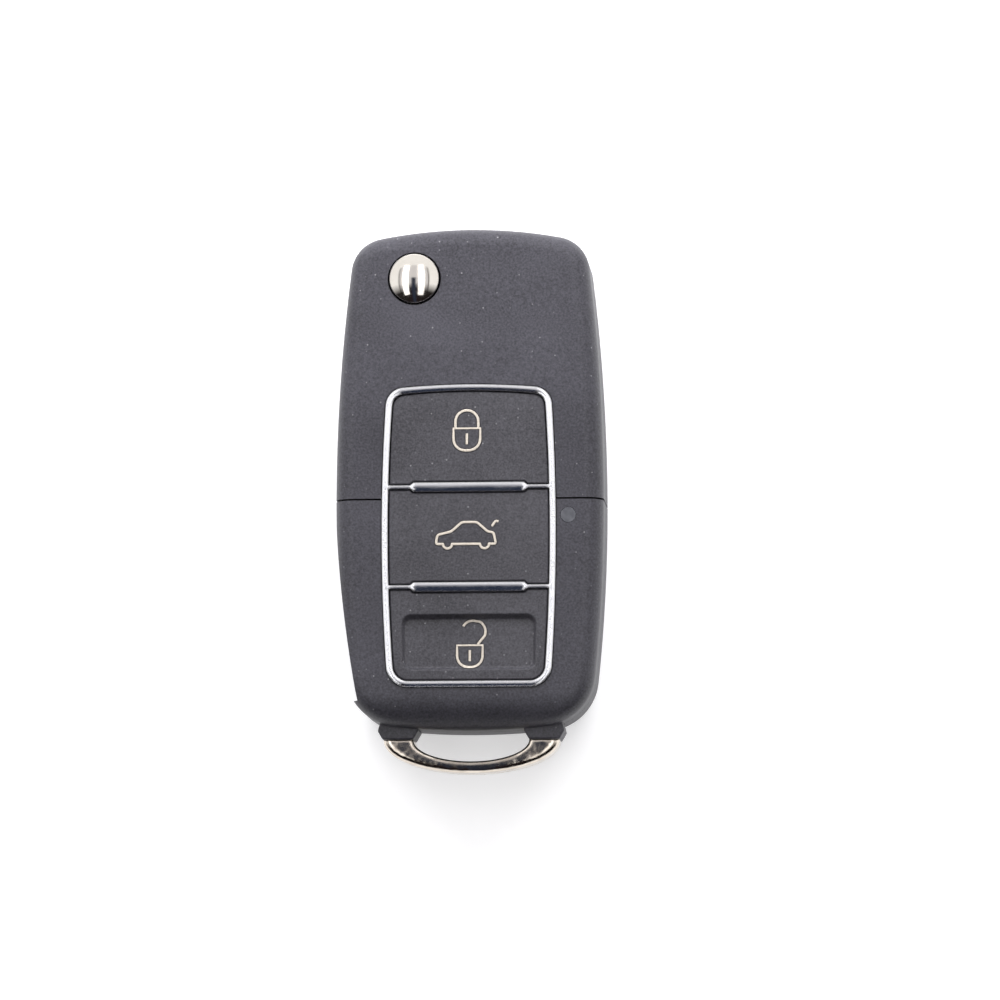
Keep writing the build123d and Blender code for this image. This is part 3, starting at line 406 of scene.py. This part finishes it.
def mottled(name, dark, light, size_mm, roughness, stretch=EVEN, extra=None):
    material, place = new_material(name)
    squeeze = add_node(material, "ShaderNodeMapping", {"Scale": stretch}, {"Vector": place})
    mottle = add_node(
        material,
        "ShaderNodeTexNoise",
        {"Scale": per_mm(size_mm), "Detail": 4.0},
        {"Vector": squeeze.outputs[0]},
    )
    colour = add_node(material, "ShaderNodeValToRGB", links={"Fac": mottle.outputs["Fac"]})
    colour.color_ramp.elements[0].position = MOTTLE_DARK
    colour.color_ramp.elements[0].color = linear(dark)
    colour.color_ramp.elements[1].position = MOTTLE_LIGHT
    colour.color_ramp.elements[1].color = linear(light)
    gloss = add_node(
        material,
        "ShaderNodeMapRange",
        {"To Min": roughness - MOTTLE_SPREAD, "To Max": roughness + MOTTLE_SPREAD},
        {"Value": mottle.outputs["Fac"]},
    )
    bump = add_node(
        material,
        "ShaderNodeBump",
        {"Strength": 0.3, "Distance": MOTTLE_DEPTH_MM * MM},
        {"Height": mottle.outputs["Fac"]},
    )
    return finish_material(
        material,
        extra or {},
        {
            "Base Color": colour.outputs[0],
            "Roughness": gloss.outputs[0],
            "Normal": bump.outputs[0],
        },
    )


dress(
    mottled("laminate_green_lacquer", "#1d5a34", "#2b7546", 0.5, 0.32, ALONG_X),
    "circuit_board",
)
dress(
    mottled("epoxy_black_moulded", "#242427", "#34343a", 0.15, 0.5),
    "remote_chip",
    "transponder_chip",
)
dress(mottled("ceramic_fired", "#9a7f5f", "#b79c79", 0.2, 0.45), "small_components")
dress(
    mottled("plunger_nylon_black", "#1f1f21", "#2e2e31", 0.3, 0.35),
    "lock_plunger",
    "trunk_plunger",
    "unlock_plunger",
)
dress(
    mottled("silicone_grey", "#7d8084", "#8f9296", 0.4, 0.55, extra={"Sheen Weight": 0.2}),
    "keypad_membrane",
    "lock_dome",
    "trunk_dome",
    "unlock_dome",
)

# %% [markdown]
# ## Lamp and lamp window
# The lamp is clear resin, and the small window over it is smoked acrylic with a polished face.
# Both let a part of the light through, so the mottled recipe gets some transmission, and the
# window a clear coat for the polish.

# %% Resin and acrylic
dress(
    mottled(
        "led_resin_clear", "#e4e1cf", "#f2f0e4", 0.3, 0.2, extra={"Transmission Weight": 0.4}
    ),
    "led",
)
ACRYLIC = {
    "Transmission Weight": 0.25,
    "IOR": 1.49,
    "Coat Weight": 0.6,
    "Coat Roughness": 0.08,
}
dress(
    mottled("lens_acrylic_smoked", "#55565c", "#66676d", 0.8, 0.22, extra=ACRYLIC),
    "led_lens",
)

# %% [markdown]
# ## Pictograms
# The three signs are printed with thick ink that stands a little proud. Round it, where it meets
# the plastic, lies a dark rim of painted shade. Each is drawn as a few open or closed lines. A
# curve with a round bevel gives every line its width and its rounded ends; then the tube is
# pressed nearly flat and laid on the key by dropping each of its points straight down onto the
# key's own surface, so that the ink follows the crown and the floor of the finger scoop.

# %% Printing ink
INK_HALF_WIDTH = 0.19
SHADE_RIM_HALF_WIDTH = 0.29
INK_FLATNESS = 0.22
SHADE_RIM_FLATNESS = 0.08

ink = mottled("ink_silver_pad_printed", "#a89f94", "#c6beb3", 0.25, 0.42)
# Painted shade: a dark rim round each ink line where it meets the plastic.
painted_shade_rim = mottled("ink_edge_painted_shade", "#1c1b1d", "#2a292c", 0.25, 0.5)
print("ink lines are", 2 * INK_HALF_WIDTH, "mm wide")


# %% Lines of a sign
def arc(centre, radius, start_deg, end_deg, steps=14):
    """Points along part of a circle, for the round stretches of a sign."""
    points = []
    for step in range(steps + 1):
        angle = math.radians(start_deg + (end_deg - start_deg) * step / steps)
        points.append((centre[0] + radius * math.cos(angle), centre[1] + radius * math.sin(angle)))
    return points


def softened(points, reach, steps=3):
    """A closed line with each corner rounded over a short reach on both sides of it."""
    rounded = []
    for before, corner, after in zip(points[-1:] + points[:-1], points, points[1:] + points[:1]):
        corner = Vector(corner)
        ends = []
        for other in (before, after):
            side = Vector(other) - corner
            ends.append(corner + side * min(reach / side.length, 0.5))
        for step in range(steps + 1):
            share = step / steps
            low, high = ends[0].lerp(corner, share), corner.lerp(ends[1], share)
            rounded.append(tuple(low.lerp(high, share)))
    return rounded


def padlock_body(half, top_y, corner, corner_y):
    """The closed line round a padlock's body, with a straight top and two round corners."""
    return (
        [(-half, top_y)]
        + arc((corner - half, corner_y), corner, 180, 270, 8)
        + arc((half - corner, corner_y), corner, 270, 360, 8)
        + [(half, top_y)]
    )


# %% A sign laid on its key
def tube_mesh(lines, centre, half_width):
    """The lines of a sign as round tubes lying in the plane z = 0, in millimetres."""
    curve = bpy.data.curves.new("sign_lines", "CURVE")
    curve.dimensions = "3D"
    curve.bevel_depth = half_width
    curve.bevel_resolution = 3
    curve.use_fill_caps = True
    for points, closed in lines:
        spline = curve.splines.new("POLY")
        spline.points.add(len(points) - 1)
        for point, (x, y) in zip(spline.points, points):
            point.co = (centre[0] + x, centre[1] + y, 0, 1)
        spline.use_cyclic_u = closed
    holder = bpy.data.objects.new("sign_lines", curve)
    bpy.context.scene.collection.objects.link(holder)
    bpy.context.view_layer.update()
    mesh = bpy.data.meshes.new_from_object(holder)
    bpy.data.objects.remove(holder)
    bpy.data.curves.remove(curve)
    return mesh


def print_sign(name, key, lines, centre):
    """Lays one sign on one key, its centre in millimetres, and lets it ride with the key."""
    tree = BVHTree.FromObject(nodes[key], bpy.context.evaluated_depsgraph_get())
    well_above, down = 1.0, Vector((0, 0, -1))
    sign = bmesh.new()
    # First the ink itself, then a wider, flatter dark tube under it: the painted shade round its
    # edge.
    for index, (half_width, flatness) in enumerate(
        ((INK_HALF_WIDTH, INK_FLATNESS), (SHADE_RIM_HALF_WIDTH, SHADE_RIM_FLATNESS))
    ):
        first_vertex = len(sign.verts)
        first_face = len(sign.faces)
        sign.from_mesh(tube_mesh(lines, centre, half_width))
        sign.verts.ensure_lookup_table()
        sign.faces.ensure_lookup_table()
        for vertex in sign.verts[first_vertex:]:
            x, y, z = vertex.co
            hit = tree.ray_cast(Vector((x * MM, y * MM, well_above)), down)[0]
            vertex.co = Vector((x * MM, y * MM, hit.z + z * flatness * MM))
        for face in sign.faces[first_face:]:
            face.material_index = index
            face.smooth = True
    mesh = bpy.data.meshes.new(name)
    sign.to_mesh(mesh)
    sign.free()
    mesh.materials.append(ink)
    mesh.materials.append(painted_shade_rim)
    piece = bpy.data.objects.new(name, mesh)
    bpy.context.scene.collection.objects.link(piece)
    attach(piece, key.replace("_button", "_key"))
    print(name, "has", len(mesh.polygons), "faces")


# %% Closed padlock on the upper key
SHACKLE_HALF = 1.58
SHACKLE_CENTRE_Y = 1.19
LOCK_TOP_Y = 0.26
padlock = [
    (
        [(-SHACKLE_HALF, LOCK_TOP_Y)]
        + arc((0, SHACKLE_CENTRE_Y), SHACKLE_HALF, 180, 0)
        + [(SHACKLE_HALF, LOCK_TOP_Y)],
        False,
    ),
    (padlock_body(half=1.84, top_y=LOCK_TOP_Y, corner=1.6, corner_y=-1.2), True),
    ([(0, -0.45), (0, -1.95)], False),
]
print_sign("lock_pictogram", "lock_button", padlock, (-0.25, 9.2))

# %% Car with its lid up on the middle key
WHEEL_RADIUS = 0.62
SILL_Y = -1.2
CORNER_REACH = 0.32
car_outline = (
    [(-3.25, SILL_Y), (-4.22, SILL_Y), (-4.02, 0.06), (-2.08, 0.52), (-0.64, 1.82), (1.45, 1.8)]
    + [(2.97, 0.46), (3.72, 0.4), (4.06, SILL_Y), (3.12, SILL_Y)]
    + arc((2.49, SILL_Y), WHEEL_RADIUS, 0, -180)
    + [(1.8, SILL_Y), (-1.95, SILL_Y)]
    + arc((-2.61, SILL_Y), WHEEL_RADIUS, 0, -180)
)
car = [
    (softened(car_outline, CORNER_REACH), True),
    ([(3.5, 1.22), (3.76, 1.6), (3.97, 1.88), (4.12, 1.94), (4.4, 1.86)], False),
]
print_sign("trunk_pictogram", "trunk_button", car, (-0.3, -5.35))

# %% Open padlock on the lower key
open_shackle = (
    [(1.1, 1.6), (1.42, 2.05)]
    + arc((0.55, 3.38), 1.6, -22, 62)
    + arc((0.4, 3.4), 1.5, 70, 150)
)
open_padlock = [
    (padlock_body(half=1.75, top_y=1.5, corner=1.55, corner_y=0.05), True),
    (open_shackle, False),
    ([(0, 0.85), (0, -0.68)], False),
]
print_sign("unlock_pictogram", "unlock_button", open_padlock, (0.1, -21.95))

# %% [markdown]
# ## Floor
# The key lies on a white board. Its white comes from the board's own colour and a little
# glow that only the camera and the metal see, so that no extra light falls on the key and the
# soft shadow stays. The board is one-sided, so that the back of the key can be looked at from
# below, and it lies a hair under the key, because two faces in one plane would flicker.

# %% White board
FLOOR_HALF_M = 2.0
FLOOR_GAP_MM = 0.05
FLOOR_GLOW = 0.5
PAPER_MM = 2.0


def make_floor():
    shape = bmesh.new()
    bmesh.ops.create_grid(shape, x_segments=1, y_segments=1, size=FLOOR_HALF_M)
    mesh = bpy.data.meshes.new("floor")
    shape.to_mesh(mesh)
    shape.free()
    floor = bpy.data.objects.new("floor", mesh)
    floor.location.z = -FLOOR_GAP_MM * MM
    bpy.context.scene.collection.objects.link(floor)
    material, place = new_material("board_white_matt")
    paper = add_node(
        material,
        "ShaderNodeTexNoise",
        {"Scale": per_mm(PAPER_MM), "Detail": 3.0},
        {"Vector": place},
    )
    shade = add_node(
        material,
        "ShaderNodeMix",
        {"A": linear("#cfcfd1"), "B": linear("#d8d8da")},
        {"Factor": paper.outputs["Fac"]},
        data_type="RGBA",
    )
    matt = add_node(material, "ShaderNodeBsdfDiffuse", links={"Color": shade.outputs["Result"]})
    path = add_node(material, "ShaderNodeLightPath")
    seen = add_node(
        material,
        "ShaderNodeMath",
        links={0: path.outputs["Is Camera Ray"], 1: path.outputs["Is Glossy Ray"]},
        operation="MAXIMUM",
    )
    level = add_node(
        material, "ShaderNodeMath", {1: FLOOR_GLOW}, {0: seen.outputs[0]}, operation="MULTIPLY"
    )
    glow = add_node(material, "ShaderNodeEmission", links={"Strength": level.outputs[0]})
    total = add_node(
        material, "ShaderNodeAddShader", links={0: matt.outputs[0], 1: glow.outputs[0]}
    )
    below = add_node(material, "ShaderNodeNewGeometry")
    clear = add_node(material, "ShaderNodeBsdfTransparent")
    one_sided = add_node(
        material,
        "ShaderNodeMixShader",
        links={0: below.outputs["Backfacing"], 1: total.outputs[0], 2: clear.outputs[0]},
    )
    add_node(material, "ShaderNodeOutputMaterial", links={"Surface": one_sided.outputs[0]})
    mesh.materials.append(material)
    print("floor lies at z =", floor.location.z)


make_floor()

# %% [markdown]
# ## Lamps
# Two long soft lamps hang left and right of the key and run its way, which is what draws the
# upright pale stripes on the polished button. A low one beyond the release button brightens
# the head. It is hidden from reflections, so that the metal shows only the two strips.


# %% Soft lamps
def softbox(name, place_mm, aim_mm, size_mm, power):
    """A lamp turned towards a place; its second size lies level, its first one across that."""
    lamp = bpy.data.lights.new(name, "AREA")
    lamp.shape = "RECTANGLE"
    lamp.size, lamp.size_y = (side * MM for side in size_mm)
    lamp.energy = power
    holder = bpy.data.objects.new(name, lamp)
    holder.location = Vector(place_mm) * MM
    holder.rotation_euler = (Vector(aim_mm) - Vector(place_mm)).to_track_quat("-Z", "X").to_euler()
    bpy.context.scene.collection.objects.link(holder)
    print(name, "gives", power, "W")
    return holder


softbox("left_strip", (-270, 60, 500), (0, 60, 0), (180, 960), 0.8)
softbox("right_strip", (155, 60, 500), (0, 60, 0), (170, 960), 0.75)
far_fill = softbox("far_fill", (0, 170, 110), (0, 0, 0), (110, 360), 1.0)
far_fill.visible_glossy = False

# %% [markdown]
# ## The room around it
# Polished metal shows the room, so the room is what makes it look real. This one is a light
# tent: pale walls, a greyer ceiling between two long lamps, a dark seam where ceiling and
# walls meet, and a dark brown patch on the key-ring side, where the room is darker altogether.
# A narrow blue-grey slot in the ceiling gives the cross bars their dark core. The ceiling is a
# plane, so a place on it is the direction's x or y divided by its z. Ramps over these two
# places paint the seams, the patch and the slot.


# %% A ramp over a number
def painted(owner, value, low, high, stops):
    """Colours along a number that runs from low to high, given as (number, colour) stops."""
    placed = add_node(
        owner, "ShaderNodeMapRange", {"From Min": low, "From Max": high}, {"Value": value}
    )
    node = add_node(owner, "ShaderNodeValToRGB", links={"Fac": placed.outputs[0]})
    elements = node.color_ramp.elements
    for _ in stops[2:]:
        elements.new(0.5)
    for element, (number, _) in zip(elements, stops):
        element.position = (number - low) / (high - low)
    for element, (_, colour) in zip(elements, stops):
        element.color = linear(colour)
    return node.outputs[0]


# %% Places on the ceiling
HORIZON = 0.08

world = bpy.data.worlds.new("light_tent")
bpy.context.scene.world = world
world.use_nodes = True
world.node_tree.nodes.clear()
direction = add_node(world, "ShaderNodeTexCoord")
parts = add_node(
    world, "ShaderNodeSeparateXYZ", links={"Vector": direction.outputs["Generated"]}
)
above = add_node(
    world, "ShaderNodeMath", {1: HORIZON}, {0: parts.outputs["Z"]}, operation="MAXIMUM"
)
across, along = (
    add_node(
        world,
        "ShaderNodeMath",
        links={0: parts.outputs[axis], 1: above.outputs[0]},
        operation="DIVIDE",
    ).outputs[0]
    for axis in "XY"
)
print("the ceiling is painted down to", HORIZON, "above the horizon")

# %% Walls, seams and dark places
WALL, SEAM, CEILING = "#fdfcfb", "#443f3c", "#dad8da"
RING_SIDE, PATCH, SLOT = "#1c1817", "#241c1e", "#2b3140"
OFF, ON = "#000000", "#ffffff"
ROOM_STRENGTH = 0.98

room = painted(
    world,
    across,
    -2.0,
    2.0,
    (
        (-1.2, WALL),
        (-1.08, SEAM),
        (-0.98, CEILING),
        (0.72, CEILING),
        (0.8, SEAM),
        (0.9, WALL),
    ),
)
beyond_end = painted(world, along, 0.0, 2.0, ((0.9, OFF), (1.05, ON)))
ring_side = painted(world, parts.outputs["Y"], -1.0, 0.0, ((-0.5, ON), (-0.12, OFF)))
beside_patch = painted(
    world, across, -1.0, 1.0, ((-0.6, OFF), (-0.3, ON), (0.15, ON), (0.4, OFF))
)
before_patch = painted(world, along, -2.0, 0.0, ((-0.45, ON), (-0.08, OFF)))
beside_slot = painted(
    world, across, -0.5, 0.5, ((-0.24, OFF), (-0.14, ON), (-0.01, ON), (0.09, OFF))
)
before_slot = painted(world, along, -0.5, 0.5, ((0.1, ON), (0.18, OFF)))
patch, slot = (
    add_node(
        world, "ShaderNodeMath", links={0: beside, 1: before}, operation="MULTIPLY"
    ).outputs[0]
    for beside, before in ((beside_patch, before_patch), (beside_slot, before_slot))
)
for amount, colour in ((beyond_end, WALL), (ring_side, RING_SIDE), (patch, PATCH), (slot, SLOT)):
    mixed = add_node(
        world,
        "ShaderNodeMix",
        {"B": linear(colour)},
        {"Factor": amount, "A": room},
        data_type="RGBA",
    )
    room = mixed.outputs["Result"]
light = add_node(world, "ShaderNodeBackground", {"Strength": ROOM_STRENGTH}, {"Color": room})
add_node(world, "ShaderNodeOutputWorld", links={"Surface": light.outputs[0]})
print("the room has", len(world.node_tree.nodes), "nodes")

# %% [markdown]
# ## Camera
# The picture looks almost straight down with a long lens: a little from the key-ring end and
# a little from the right, which is what lets the end wall and the right wall show as thin
# bands. The camera is placed by those two leans, and its aim is moved so that the key sits
# left of the middle as it does in the picture.

# %% Camera placed by two leans
LEAN_TO_RIGHT = math.radians(4.0)
LEAN_TO_RING = math.radians(7.0)
LENS_MM = 200.0
SENSOR_MM = 36.0
FRAME_WIDTH_MM = 138.8
SIGHT_M = 10.0
AIM_MM = Vector((3.8, 0.4, 7.5))

towards = Vector((math.tan(LEAN_TO_RIGHT), -math.tan(LEAN_TO_RING), 1)).normalized()
distance_mm = FRAME_WIDTH_MM * LENS_MM / SENSOR_MM
right = Vector((0, 1, 0)).cross(towards).normalized()
upright = towards.cross(right)
camera = bpy.data.cameras.new("camera")
camera.lens = LENS_MM
camera.sensor_width = SENSOR_MM
camera.clip_end = SIGHT_M
camera_holder = bpy.data.objects.new("camera", camera)
turn = Matrix((right, upright, towards)).transposed().to_4x4()
camera_holder.matrix_world = Matrix.Translation((AIM_MM + towards * distance_mm) * MM) @ turn
bpy.context.scene.collection.objects.link(camera_holder)
bpy.context.scene.camera = camera_holder
bpy.context.scene.view_settings.view_transform = "Standard"
print("camera is", round(distance_mm), "mm away")
